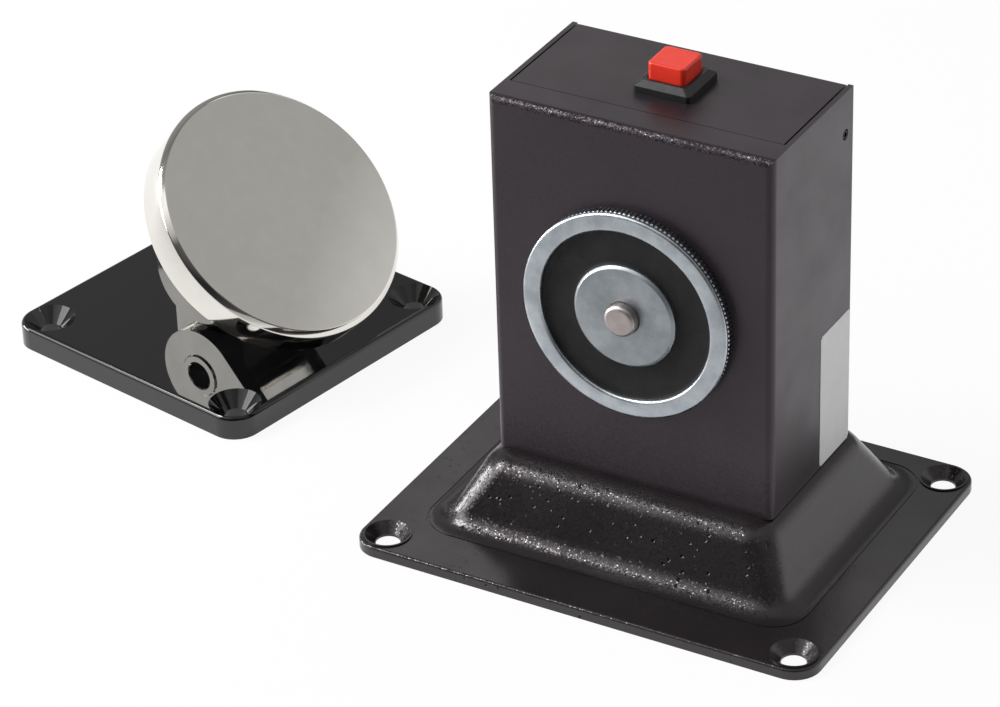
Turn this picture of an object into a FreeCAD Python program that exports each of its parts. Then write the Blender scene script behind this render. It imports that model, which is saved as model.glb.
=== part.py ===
import FreeCAD
import Part
import math
import os

import Sketcher
from FreeCAD import Placement, Rotation, Vector

# Electromagnetic door holder: a magnet unit on a pressed pedestal, with a release button on top, and a
# swivelling keeper plate on a base of its own. Millimetres, +Z up. The origin is the middle of the pedestal's
# four fixing holes on the mounting surface. The magnet faces -Y, and the keeper unit stands beside it at -X.

SIZES = {
    # Pedestal: one pressed sheet with a flat flange, a sloping skirt and a flat top
    "base_length": 142.0,
    "base_width": 112.0,
    "base_sheet": 3.2,
    "base_corner": 8.0,
    "base_edge": 0.8,
    "pedestal_height": 22.6,
    "plateau_margin_x": 1.0,
    "plateau_margin_y": 6.5,
    "skirt_run_x": 10.1,
    "skirt_run_y": 9.2,
    "shoulder_corner": 9.0,
    "foot_corner": 6.0,
    "hollow_corner": 5.0,
    "shoulder_radius": 8.0,
    "foot_radius": 8.0,
    "crease_out": 4.8,
    "crease_width": 0.5,
    "crease_depth": 0.2,
    "fixing_inset": 8.0,
    "fixing_hole": 7.0,
    "fixing_sink": 12.0,
    "fixing_lip": 0.5,
    "fixing_lip_rise": 0.4,
    # Housing: folded front, sides, floor and top flange, closed by a folded top and back cover
    "housing_width": 85.0,
    "housing_depth": 48.0,
    "housing_height": 110.6,
    "housing_offset": 3.7,
    "housing_sheet": 1.5,
    "housing_bend": 2.2,
    "cover_bend": 0.9,
    "top_flange": 10.0,
    "seam_gap": 0.2,
    "cover_gap": 0.5,
    "tab_depth": 12.0,
    "tab_height": 16.0,
    "cover_screw_drop": 12.7,
    "cover_screw_inset": 4.6,
    "cover_screw_hole": 3.2,
    "cover_screw_head": 2.9,
    "cover_screw_length": 7.0,
    # Screws and nuts that hold the housing on the pedestal, and the cable's way in
    "floor_screw_inset_x": 10.5,
    "floor_screw_inset_y": 10.0,
    "floor_screw_hole": 4.4,
    "floor_screw_shank": 4.0,
    "floor_screw_head": 8.0,
    "floor_screw_head_height": 2.4,
    "floor_nut_flats": 7.0,
    "floor_nut_height": 3.2,
    "cable_hole": 14.0,
    "cable_hole_x": -14.0,
    "cable_hole_y": 3.7,
    "grommet_bore": 8.0,
    "grommet_flange": 19.0,
    "grommet_lip": 1.6,
    # Magnet, measured from the outer face of the front sheet
    "magnet_rise": 55.0,
    "rim_diameter": 62.0,
    "rim_proud": 4.0,
    "rim_chamfer": 0.5,
    "pot_diameter": 57.0,
    "pot_depth": 22.0,
    "pot_bore": 51.2,
    "pot_back": 5.0,
    "pot_clearance": 0.3,
    "lead_hole": 5.0,
    "lead_hole_radius": 21.0,
    "core_diameter": 30.7,
    "core_chamfer": 0.8,
    "core_spigot": 18.0,
    "spring_bore": 12.4,
    "pin_guide_length": 6.0,
    "resin_recess": 2.0,
    "resin_depth": 3.0,
    "bobbin_wall": 1.0,
    "coil_gap": 0.8,
    "seat_gap": 0.05,
    # Ejector pin, its spring and the plug behind them
    "pin_diameter": 9.4,
    "pin_proud": 3.0,
    "pin_round": 0.9,
    "pin_collar": 11.9,
    "pin_collar_length": 2.5,
    "pin_tail": 5.6,
    "pin_tail_length": 5.0,
    "slide_gap": 0.05,
    "stop_gap": 0.1,
    "plug_length": 7.0,
    "plug_slot": 1.6,
    "plug_slot_depth": 1.8,
    # Ring nut on the pot, behind the front sheet
    "ring_nut_wall": 4.5,
    "ring_nut_height": 4.0,
    "ring_nut_notch": 5.0,
    "ring_nut_notch_depth": 2.0,
    # Release button on the top cover
    "button_setback": 17.0,
    "bezel_side": 17.2,
    "bezel_corner": 1.2,
    "bezel_wall": 2.0,
    "bezel_height": 3.4,
    "bezel_slope": 1.8,
    "well_floor": 0.5,
    "barrel_diameter": 13.0,
    "barrel_length": 10.5,
    "cap_side": 11.2,
    "cap_corner": 1.4,
    "cap_top": 8.2,
    "cap_edge": 0.6,
    "cap_travel": 2.5,
    "cap_gap": 0.25,
    "stem_diameter": 6.0,
    "stem_end": 7.5,
    "nut_flats": 17.0,
    "nut_height": 3.5,
    "switch_width": 13.0,
    "switch_depth": 10.0,
    "switch_height": 9.5,
    "blade_width": 2.8,
    "blade_sheet": 0.8,
    "blade_length": 5.0,
    "blade_pitch": 6.0,
    # Terminal block on the housing's floor
    "terminal_length": 24.0,
    "terminal_depth": 12.0,
    "terminal_height": 13.0,
    "terminal_x": 14.0,
    "terminal_y": 3.7,
    "terminal_pitch": 8.0,
    "terminal_bore": 5.0,
    "terminal_screw": 4.0,
    "terminal_screw_depth": 4.0,
    # Keeper unit: where it stands, its base and the pivot block
    "keeper_x": -165.3,
    "keeper_y": 31.7,
    "keeper_turn": -11.5,
    "keeper_side": 95.0,
    "keeper_thickness": 7.4,
    "keeper_corner": 8.0,
    "keeper_edge": 1.4,
    "keeper_inset": 8.5,
    "keeper_hole": 7.0,
    "keeper_sink": 15.6,
    "block_length": 28.0,
    "block_width": 20.0,
    "pivot_height": 17.0,
    "block_screw_spacing": 16.0,
    "block_screw_shank": 6.0,
    "block_screw_sink": 12.0,
    "block_screw_reach": 9.0,
    # Clevis, hinge pin and keeper plate, measured from the pivot along the plate's normal
    "keeper_tilt": 44.5,
    "ear_gap": 0.3,
    "ear_sheet": 5.0,
    "ear_radius": 15.0,
    "bridge_height": 23.0,
    "bridge_sheet": 5.0,
    "hinge_diameter": 12.0,
    "hinge_bore": 8.8,
    "hinge_head": 13.6,
    "hinge_head_height": 0.6,
    "hinge_head_bevel": 0.3,
    "disc_diameter": 80.0,
    "disc_thickness": 12.0,
    "disc_chamfer": 1.5,
    "disc_back_chamfer": 0.6,
    "disc_screw_spacing": 10.4,
    "disc_screw_shank": 4.0,
    "disc_screw_sink": 8.4,
    "disc_screw_reach": 6.0,
}

doc = FreeCAD.newDocument("door_holder")
sheet = doc.addObject("Spreadsheet::Sheet", "Sizes")


class Dim:
    """A size together with the expression that ties it to the sheet."""

    def __init__(self, text, value):
        self.text = text
        self.value = value

    @staticmethod
    def of(other):
        if isinstance(other, Dim):
            return other
        return Dim(repr(float(other)), float(other))

    def __add__(self, other):
        other = Dim.of(other)
        return Dim(f"({self.text} + {other.text})", self.value + other.value)

    def __radd__(self, other):
        return Dim.of(other) + self

    def __sub__(self, other):
        other = Dim.of(other)
        return Dim(f"({self.text} - {other.text})", self.value - other.value)

    def __rsub__(self, other):
        return Dim.of(other) - self

    def __mul__(self, other):
        other = Dim.of(other)
        return Dim(f"({self.text} * {other.text})", self.value * other.value)

    def __rmul__(self, other):
        return Dim.of(other) * self

    def __truediv__(self, other):
        other = Dim.of(other)
        return Dim(f"({self.text} / {other.text})", self.value / other.value)

    def __neg__(self):
        return Dim(f"(0 - {self.text})", -self.value)


def root(dim):
    return Dim(f"sqrt({dim.text})", math.sqrt(dim.value))


class Sizes:
    """The sheet's cells as attributes."""


size = Sizes()
for row, (alias, value) in enumerate(SIZES.items(), start=1):
    sheet.set(f"A{row}", alias)
    sheet.set(f"B{row}", str(value))
    sheet.setAlias(f"B{row}", alias)
    setattr(size, alias, Dim(f"Sizes.{alias}", value))
doc.recompute()

ZERO = Dim.of(0)

# Levels and planes that several pieces share
housing_front = size.housing_offset - size.housing_depth / 2
housing_back = size.housing_offset + size.housing_depth / 2
housing_floor = size.pedestal_height
housing_top = size.pedestal_height + size.housing_height
floor_top = housing_floor + size.housing_sheet
magnet_axis = size.pedestal_height + size.magnet_rise
half_housing = size.housing_width / 2
inner_half = half_housing - size.housing_sheet
cover_half = inner_half - size.cover_gap
seam = housing_front + size.top_flange + size.seam_gap
cover_screw_y = housing_back - size.cover_screw_inset
cover_screw_z = housing_top - size.cover_screw_drop
pivot_level = size.keeper_thickness + size.pivot_height


def plane_of(body, role):
    for feature in body.Origin.OriginFeatures:
        if feature.Role == role:
            return feature
    raise ValueError(role)


def make_body(label, place=None):
    """A body named after its piece; place is (x, y, z, yaw, pitch, roll)."""
    body = doc.addObject("PartDesign::Body", label)
    body.Label = label
    if place:
        x, y, z, yaw, pitch, roll = [Dim.of(v) for v in place]
        base = f"vector({x.text}; {y.text}; {z.text})"
        turn = f"rotation({yaw.text}; {pitch.text}; {roll.text})"
        body.setExpression("Placement", f"placement({base}; {turn})")
    return body


def make_sketch(body, role="XY_Plane", offset=ZERO):
    sketch = body.newObject("Sketcher::SketchObject", body.Label + "_sketch")
    sketch.AttachmentSupport = (plane_of(body, role), [""])
    sketch.MapMode = "FlatFace"
    offset = Dim.of(offset)
    sketch.AttachmentOffset = Placement(Vector(0, 0, offset.value), Rotation())
    sketch.setExpression("AttachmentOffset.Base.z", offset.text)
    return sketch


def bind(sketch, constraint, dim):
    index = sketch.addConstraint(constraint)
    sketch.setExpression(f"Constraints[{index}]", dim.text)


def pin_point(sketch, geometry, end, x, y):
    bind(sketch, Sketcher.Constraint("DistanceX", -1, 1, geometry, end, x.value), x)
    bind(sketch, Sketcher.Constraint("DistanceY", -1, 1, geometry, end, y.value), y)


def polygon(sketch, points):
    """A closed outline of straight lines through points whose coordinates are tied to the sheet."""
    points = [(Dim.of(x), Dim.of(y)) for x, y in points]
    lines = []
    for index, (x, y) in enumerate(points):
        nx, ny = points[(index + 1) % len(points)]
        line = Part.LineSegment(Vector(x.value, y.value, 0), Vector(nx.value, ny.value, 0))
        lines.append(sketch.addGeometry(line, False))
    for index, line in enumerate(lines):
        following = lines[(index + 1) % len(lines)]
        sketch.addConstraint(Sketcher.Constraint("Coincident", line, 2, following, 1))
    for line, (x, y) in zip(lines, points):
        pin_point(sketch, line, 1, x, y)
    return sketch


def rectangle(sketch, left, right, low, high):
    return polygon(sketch, [(left, low), (right, low), (right, high), (left, high)])


def circle(sketch, x, y, diameter):
    x, y = Dim.of(x), Dim.of(y)
    shape = Part.Circle(Vector(x.value, y.value, 0), Vector(0, 0, 1), diameter.value / 2)
    index = sketch.addGeometry(shape, False)
    bind(sketch, Sketcher.Constraint("Diameter", index, diameter.value), diameter)
    pin_point(sketch, index, 3, x, y)
    return sketch


def hexagon(sketch, flats):
    corner = flats / math.sqrt(3)
    return polygon(sketch, [
        (corner, 0),
        (corner / 2, flats / 2),
        (-corner / 2, flats / 2),
        (-corner, 0),
        (-corner / 2, -flats / 2),
        (corner / 2, -flats / 2),
    ])


def rounded_rectangle(sketch, half_x, half_y, radius, centre_y=ZERO):
    """Four lines and four corner arcs round a centre on the sketch's own Y axis."""
    in_x = half_x - radius
    low, high = centre_y - half_y, centre_y + half_y
    in_low, in_high = low + radius, high - radius
    sides = [
        ((-in_x, low), (in_x, low)),
        ((half_x, in_low), (half_x, in_high)),
        ((in_x, high), (-in_x, high)),
        ((-half_x, in_high), (-half_x, in_low)),
    ]
    corners = [(in_x, in_low, -90), (in_x, in_high, 0), (-in_x, in_high, 90), (-in_x, in_low, 180)]
    return tangent_loop(sketch, sides, corners, radius)


def tangent_loop(sketch, sides, corners, radius):
    """Straight sides joined in turn by arcs of one radius; a corner is its arc's centre and start angle."""
    lines = []
    for (ax, ay), (bx, by) in sides:
        line = Part.LineSegment(Vector(ax.value, ay.value, 0), Vector(bx.value, by.value, 0))
        lines.append(sketch.addGeometry(line, False))
    arcs = []
    sweep = 360 / len(corners)
    for cx, cy, start in corners:
        ring = Part.Circle(Vector(cx.value, cy.value, 0), Vector(0, 0, 1), radius.value)
        arc = Part.ArcOfCircle(ring, math.radians(start), math.radians(start + sweep))
        arcs.append(sketch.addGeometry(arc, False))
    for index, (line, arc) in enumerate(zip(lines, arcs)):
        following = lines[(index + 1) % len(lines)]
        sketch.addConstraint(Sketcher.Constraint("Coincident", line, 2, arc, 1))
        sketch.addConstraint(Sketcher.Constraint("Coincident", arc, 2, following, 1))
        bind(sketch, Sketcher.Constraint("Radius", arc, radius.value), radius)
    for line, ((ax, ay), (bx, by)) in zip(lines, sides):
        pin_point(sketch, line, 1, ax, ay)
        pin_point(sketch, line, 2, bx, by)
    return sketch


def finish_feature(body, feature):
    body.Tip = feature
    doc.recompute()
    return feature


def pad(body, sketch, length, down=False, symmetric=False):
    feature = body.newObject("PartDesign::Pad", body.Label + "_pad")
    feature.Profile = sketch
    feature.setExpression("Length", length.text)
    feature.Reversed = down
    if symmetric:
        feature.SideType = "Symmetric"
    return finish_feature(body, feature)


def pocket(body, sketch, length=None, reverse=False, symmetric=False):
    """Removes material; without a length it runs through everything. It has to make the solid smaller."""
    before = body.Shape.Volume
    feature = body.newObject("PartDesign::Pocket", body.Label + "_pocket")
    feature.Profile = sketch
    feature.Reversed = reverse
    if symmetric:
        feature.SideType = "Symmetric"
    if length is None:
        feature.Type = "ThroughAll"
    else:
        feature.setExpression("Length", length.text)
    finish_feature(body, feature)
    if not body.Shape.Volume < before - 1e-6:
        raise ValueError(f"{body.Label}: a pocket cuts nothing")
    return feature


def loft(body, kind, first, last):
    """A ruled solid from one outline to another, added or taken away."""
    feature = body.newObject(kind, body.Label + "_loft")
    feature.Profile = first
    feature.Sections = [last]
    feature.Ruled = True
    return finish_feature(body, feature)


def revolve(body, points):
    """A full turn of an outline of (radius, height) points about the body's own Z axis."""
    sketch = polygon(make_sketch(body, "XZ_Plane"), points)
    feature = body.newObject("PartDesign::Revolution", body.Label + "_turn")
    feature.Profile = sketch
    feature.ReferenceAxis = (sketch, ["V_Axis"])
    feature.Angle = 360
    return finish_feature(body, feature)


def edges_where(body, test):
    """Names of the tip's edges whose end points and middle all pass the test."""
    names = []
    shape = body.Tip.Shape
    for index, edge in enumerate(shape.Edges, start=1):
        middle = edge.valueAt((edge.FirstParameter + edge.LastParameter) / 2)
        points = [vertex.Point for vertex in edge.Vertexes] + [middle]
        if all(test(point) for point in points):
            names.append(f"Edge{index}")
    if not names:
        raise ValueError(f"{body.Label}: no edge found to dress")
    return names


def fillet(body, radius, test):
    base = (body.Tip, edges_where(body, test))
    feature = body.newObject("PartDesign::Fillet", body.Label + "_fillet")
    feature.Base = base
    feature.setExpression("Radius", radius.text)
    return finish_feature(body, feature)


def near(value, dim):
    return abs(value - dim.value) < 1e-4


def sunk_holes(body, sketch, diameter, sink, reverse=False):
    """Countersunk through holes at the sketch's circles."""
    before = body.Shape.Volume
    doc.recompute()
    feature = body.newObject("PartDesign::Hole", body.Label + "_hole")
    feature.Profile = sketch
    doc.recompute()
    feature.ThreadType = "None"
    feature.setExpression("Diameter", diameter.text)
    feature.DepthType = "ThroughAll"
    feature.HoleCutType = "Countersink"
    feature.HoleCutCustomValues = True
    feature.setExpression("HoleCutDiameter", sink.text)
    feature.HoleCutCountersinkAngle = 90
    feature.Reversed = reverse
    finish_feature(body, feature)
    if not body.Shape.Volume < before - 1e-6:
        raise ValueError(f"{body.Label}: the holes cut nothing")
    return feature


def four_places(half_x, half_y, centre_y=ZERO):
    return [(side * half_x, centre_y + end * half_y) for side in (-1, 1) for end in (-1, 1)]


parts = []


def keep(body):
    parts.append(body)
    return body


floor_places = four_places(half_housing - size.floor_screw_inset_x,
                           size.housing_depth / 2 - size.floor_screw_inset_y, size.housing_offset)


def make_pedestal():
    """Pressed sheet of one thickness: countersunk flange, sloping skirt, round shoulder and flat top, open below."""
    body = make_body("pedestal")
    rise = size.pedestal_height - size.base_sheet
    top_x = half_housing + size.plateau_margin_x
    top_y = size.housing_depth / 2 + size.plateau_margin_y
    foot_x = top_x + size.skirt_run_x
    foot_y = top_y + size.skirt_run_y
    flange = make_sketch(body)
    rounded_rectangle(flange, size.base_length / 2, size.base_width / 2, size.base_corner)
    pad(body, flange, size.base_sheet)
    fillet(body, size.base_edge, lambda p: near(p.z, size.base_sheet))
    foot = make_sketch(body, offset=size.base_sheet)
    rounded_rectangle(foot, foot_x, foot_y, size.foot_corner, size.housing_offset)
    plateau = make_sketch(body, offset=size.pedestal_height)
    rounded_rectangle(plateau, top_x, top_y, size.shoulder_corner, size.housing_offset)
    loft(body, "PartDesign::AdditiveLoft", foot, plateau)
    fillet(body, size.shoulder_radius, lambda p: near(p.z, size.pedestal_height))
    on_flange = size.base_width / 2 - size.base_edge
    fillet(body, size.foot_radius, lambda p: near(p.z, size.base_sheet)
           and abs(p.x) < foot_x.value + 0.01 and abs(p.y) < on_flange.value - 0.01)
    # The hollow keeps the sheet's thickness square to the slope
    slope_x = size.skirt_run_x / rise
    slope_y = size.skirt_run_y / rise
    step_x = size.base_sheet * (root(1 + slope_x * slope_x) - slope_x)
    step_y = size.base_sheet * (root(1 + slope_y * slope_y) - slope_y)
    mouth = make_sketch(body)
    rounded_rectangle(mouth, foot_x - step_x, foot_y - step_y, size.hollow_corner, size.housing_offset)
    roof = make_sketch(body, offset=rise)
    rounded_rectangle(roof, top_x - step_x, top_y - step_y, size.hollow_corner, size.housing_offset)
    loft(body, "PartDesign::SubtractiveLoft", mouth, roof)
    fillet(body, size.shoulder_radius - size.base_sheet, lambda p: near(p.z, rise))
    fillet(body, size.foot_radius + size.base_sheet, lambda p: near(p.z, ZERO)
           and abs(p.x) < foot_x.value and abs(p.y) < on_flange.value - 0.01)
    crease = make_sketch(body, offset=size.base_sheet + size.crease_depth)
    for out in (size.crease_out, size.crease_out + size.crease_width):
        rounded_rectangle(crease, foot_x + out, foot_y + out, size.foot_corner + out, size.housing_offset)
    pocket(body, crease, 2 * size.crease_depth)
    places = four_places(size.base_length / 2 - size.fixing_inset, size.base_width / 2 - size.fixing_inset)
    lips = make_sketch(body, offset=size.base_sheet)
    sinks = make_sketch(body, offset=size.base_sheet + size.fixing_lip_rise)
    top_sink = size.fixing_sink + 2 * size.fixing_lip_rise
    for x, y in places:
        circle(lips, x, y, top_sink + 2 * size.fixing_lip)
    pad(body, lips, size.fixing_lip_rise)
    for x, y in places:
        circle(sinks, x, y, size.fixing_hole)
    sunk_holes(body, sinks, size.fixing_hole, top_sink)
    top_holes = make_sketch(body, offset=size.pedestal_height)
    for x, y in floor_places:
        circle(top_holes, x, y, size.floor_screw_hole)
    circle(top_holes, size.cable_hole_x, size.cable_hole_y, size.cable_hole)
    pocket(body, top_holes, 2 * size.base_sheet)
    return keep(body)


def make_housing_shell():
    """Front, sides, floor and a flange folded back over the top, with the round opening for the magnet."""
    body = make_body("housing_shell")
    block = make_sketch(body, offset=housing_floor)
    rectangle(block, -half_housing, half_housing, housing_front, housing_back)
    pad(body, block, size.housing_height)
    fillet(body, size.housing_bend, lambda p: near(p.y, housing_front)
           and (near(p.z, housing_top) or near(abs(p.x), half_housing)))
    room = make_sketch(body, "XZ_Plane", -housing_back)
    rectangle(room, -inner_half, inner_half, floor_top, housing_top - size.housing_sheet)
    pocket(body, room, size.housing_depth - size.housing_sheet, reverse=True)
    mouth = make_sketch(body, offset=housing_top)
    rectangle(mouth, -inner_half, inner_half, housing_front + size.top_flange, housing_back)
    pocket(body, mouth, size.housing_sheet)
    opening = make_sketch(body, "XZ_Plane", -housing_front)
    circle(opening, 0, magnet_axis, size.pot_diameter + 2 * size.pot_clearance)
    pocket(body, opening, size.housing_sheet)
    floor_holes = make_sketch(body, offset=floor_top)
    for x, y in floor_places:
        circle(floor_holes, x, y, size.floor_screw_hole)
    circle(floor_holes, size.cable_hole_x, size.cable_hole_y, size.cable_hole)
    pocket(body, floor_holes, size.housing_sheet)
    side_holes = make_sketch(body, "YZ_Plane")
    circle(side_holes, cover_screw_y, cover_screw_z, size.cover_screw_hole)
    pocket(body, side_holes, symmetric=True)
    return keep(body)


def make_housing_cover():
    """Folded top and back that lie between the sides, with two tapped tabs for the side screws."""
    body = make_body("housing_cover")
    back_inner = housing_back - size.housing_sheet
    top_inner = housing_top - size.housing_sheet
    low = floor_top + size.cover_gap
    fold = make_sketch(body, "YZ_Plane")
    polygon(fold, [
        (seam, housing_top),
        (seam, top_inner),
        (back_inner, top_inner),
        (back_inner, low),
        (housing_back, low),
        (housing_back, housing_top),
    ])
    pad(body, fold, 2 * cover_half, symmetric=True)
    fillet(body, size.cover_bend, lambda p: near(p.y, housing_back) and near(p.z, housing_top))
    tabs = make_sketch(body, offset=cover_screw_z - size.tab_height / 2)
    tab_inner = cover_half - size.housing_sheet
    for left, right in ((-cover_half, -tab_inner), (tab_inner, cover_half)):
        rectangle(tabs, left, right, back_inner - size.tab_depth, back_inner)
    pad(body, tabs, size.tab_height)
    tapped = make_sketch(body, "YZ_Plane")
    circle(tapped, cover_screw_y, cover_screw_z, size.cover_screw_hole)
    pocket(body, tapped, symmetric=True)
    button_hole = make_sketch(body, offset=housing_top)
    circle(button_hole, 0, seam + size.button_setback, size.barrel_diameter + 2 * size.seat_gap)
    pocket(body, button_hole, size.housing_sheet)
    return keep(body)


def make_cover_screws():
    """Headless screws, one in each side, flush with the sheet."""
    body = make_body("cover_screws")
    ends = make_sketch(body, "YZ_Plane", half_housing - size.cover_screw_length)
    circle(ends, cover_screw_y, cover_screw_z, size.cover_screw_head)
    right = pad(body, ends, size.cover_screw_length)
    mirror = body.newObject("PartDesign::Mirrored", "cover_screws_mirror")
    mirror.Originals = [right]
    mirror.MirrorPlane = (plane_of(body, "YZ_Plane"), [""])
    finish_feature(body, mirror)
    return keep(body)


def make_floor_screws():
    """Pan head screws down through the housing's floor and the pedestal's top."""
    body = make_body("floor_screws")
    heads = make_sketch(body, offset=floor_top)
    shanks = make_sketch(body, offset=floor_top)
    for x, y in floor_places:
        circle(heads, x, y, size.floor_screw_head)
        circle(shanks, x, y, size.floor_screw_shank)
    pad(body, heads, size.floor_screw_head_height)
    reach = size.housing_sheet + size.base_sheet + size.floor_nut_height
    pad(body, shanks, reach, down=True)
    return keep(body)


def make_floor_nuts():
    """Hexagon nuts under the pedestal's top sheet."""
    body = make_body("floor_nuts")
    seat = size.pedestal_height - size.base_sheet
    rims = make_sketch(body, offset=seat)
    corner = size.floor_nut_flats / math.sqrt(3)
    half = size.floor_nut_flats / 2
    for x, y in floor_places:
        polygon(rims, [
            (x + corner, y),
            (x + corner / 2, y + half),
            (x - corner / 2, y + half),
            (x - corner, y),
            (x - corner / 2, y - half),
            (x + corner / 2, y - half),
        ])
        circle(rims, x, y, size.floor_screw_shank + 2 * size.seat_gap)
    pad(body, rims, size.floor_nut_height, down=True)
    return keep(body)


def make_cable_grommet():
    """Rubber ring in the cable hole, with a lip above the floor and one below the pedestal's top."""
    body = make_body("cable_grommet", (size.cable_hole_x, size.cable_hole_y, 0, 0, 0, 0))
    bore = size.grommet_bore / 2
    waist = size.cable_hole / 2 - size.seat_gap
    lip = size.grommet_flange / 2
    low = size.pedestal_height - size.base_sheet
    revolve(body, [
        (bore, low - size.grommet_lip),
        (lip, low - size.grommet_lip),
        (lip, low),
        (waist, low),
        (waist, floor_top),
        (lip, floor_top),
        (lip, floor_top + size.grommet_lip),
        (bore, floor_top + size.grommet_lip),
    ])
    return keep(body)


MAGNET_PLACE = (ZERO, housing_front, magnet_axis, 0, 0, 90)
face = size.rim_proud
pot_rear = -size.pot_depth
pot_inner = pot_rear + size.pot_back
resin_front = face - size.resin_recess
resin_back = resin_front - size.resin_depth
core_radius = size.core_diameter / 2
pot_bore_radius = size.pot_bore / 2
guide_end = face - size.pin_guide_length
plug_front = pot_rear + size.plug_length


def make_magnet_pot():
    """Steel cup: a rim standing proud of the front sheet and seated on it, and a body through the opening."""
    body = make_body("magnet_pot", MAGNET_PLACE)
    rim = size.rim_diameter / 2
    wall = size.pot_diameter / 2
    spigot = size.core_spigot / 2 + size.seat_gap
    revolve(body, [
        (pot_bore_radius, face),
        (rim - size.rim_chamfer, face),
        (rim, face - size.rim_chamfer),
        (rim, 0),
        (wall, 0),
        (wall, pot_rear),
        (spigot, pot_rear),
        (spigot, pot_inner),
        (pot_bore_radius, pot_inner),
    ])
    leads = make_sketch(body, offset=pot_inner)
    circle(leads, 0, -size.lead_hole_radius, size.lead_hole)
    pocket(body, leads, size.pot_back)
    return keep(body)


def make_magnet_core():
    """Pole core flush with the rim, riveted through the pot's back, bored for the ejector pin and its spring."""
    body = make_body("magnet_core", MAGNET_PLACE)
    guide = size.pin_diameter / 2 + size.slide_gap
    spring = size.spring_bore / 2
    spigot = size.core_spigot / 2
    revolve(body, [
        (guide, face),
        (core_radius - size.core_chamfer, face),
        (core_radius, face - size.core_chamfer),
        (core_radius, pot_inner),
        (spigot, pot_inner),
        (spigot, pot_rear),
        (spring, pot_rear),
        (spring, guide_end),
        (guide, guide_end),
    ])
    return keep(body)


def make_core_plug():
    """Screwed plug that closes the core's bore behind the spring, slotted for a screwdriver."""
    body = make_body("core_plug", MAGNET_PLACE)
    skin = size.spring_bore / 2 - size.seat_gap
    revolve(body, [(ZERO, plug_front), (ZERO, pot_rear), (skin, pot_rear), (skin, plug_front)])
    slot = make_sketch(body, offset=pot_rear)
    rectangle(slot, -size.spring_bore, size.spring_bore, -size.plug_slot / 2, size.plug_slot / 2)
    pocket(body, slot, size.plug_slot_depth, reverse=True)
    return keep(body)


bobbin_in = core_radius + size.seat_gap
bobbin_out = pot_bore_radius - size.seat_gap
coil_in = bobbin_in + size.bobbin_wall


def make_coil_bobbin():
    """Spool round the core, between the pot's back and the resin."""
    body = make_body("coil_bobbin", MAGNET_PLACE)
    revolve(body, [
        (bobbin_in, resin_back),
        (bobbin_out, resin_back),
        (bobbin_out, resin_back - size.bobbin_wall),
        (coil_in, resin_back - size.bobbin_wall),
        (coil_in, pot_inner + size.bobbin_wall),
        (bobbin_out, pot_inner + size.bobbin_wall),
        (bobbin_out, pot_inner),
        (bobbin_in, pot_inner),
    ])
    return keep(body)


def make_coil_winding():
    body = make_body("coil_winding", MAGNET_PLACE)
    inside = coil_in + size.seat_gap
    outside = bobbin_out - size.coil_gap
    high = resin_back - size.bobbin_wall - size.seat_gap
    low = pot_inner + size.bobbin_wall + size.seat_gap
    revolve(body, [(inside, low), (outside, low), (outside, high), (inside, high)])
    return keep(body)


def make_resin_ring():
    """Cast resin in the gap between core and rim, a little below their face."""
    body = make_body("resin_ring", MAGNET_PLACE)
    revolve(body, [
        (bobbin_in, resin_back),
        (bobbin_out, resin_back),
        (bobbin_out, resin_front),
        (bobbin_in, resin_front),
    ])
    return keep(body)


def make_ejector_pin():
    """Sprung pin that stands proud of the core; its collar stops against the guide's end."""
    body = make_body("ejector_pin", MAGNET_PLACE)
    nose = face + size.pin_proud
    shank = size.pin_diameter / 2
    collar = size.pin_collar / 2
    tail = size.pin_tail / 2
    collar_front = guide_end - size.stop_gap
    collar_back = collar_front - size.pin_collar_length
    tail_end = collar_back - size.pin_tail_length
    revolve(body, [
        (ZERO, nose),
        (shank, nose),
        (shank, collar_front),
        (collar, collar_front),
        (collar, collar_back),
        (tail, collar_back),
        (tail, tail_end),
        (ZERO, tail_end),
    ])
    fillet(body, size.pin_round, lambda p: near(p.z, nose) and near(math.hypot(p.x, p.y), shank))
    return keep(body)


def make_ring_nut():
    """Notched ring screwed on the pot; it clamps the front sheet against the rim."""
    body = make_body("ring_nut", MAGNET_PLACE)
    seat = -size.housing_sheet
    inside = size.pot_diameter / 2 + size.seat_gap
    outside = inside + size.ring_nut_wall
    low = seat - size.ring_nut_height
    revolve(body, [(inside, low), (outside, low), (outside, seat), (inside, seat)])
    notch = make_sketch(body, offset=seat)
    half = size.ring_nut_notch / 2
    rectangle(notch, -half, half, outside - size.ring_nut_notch_depth, outside + size.ring_nut_notch_depth)
    cut = pocket(body, notch, size.ring_nut_height)
    ring = body.newObject("PartDesign::PolarPattern", "ring_nut_pattern")
    ring.Originals = [cut]
    ring.Axis = (notch, ["N_Axis"])
    ring.Angle = 360
    ring.Occurrences = 4
    finish_feature(body, ring)
    return keep(body)


BUTTON_PLACE = (ZERO, seam + size.button_setback, housing_top, 0, 0, 0)
cap_rest = size.well_floor + size.cap_travel + size.stop_gap


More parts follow.
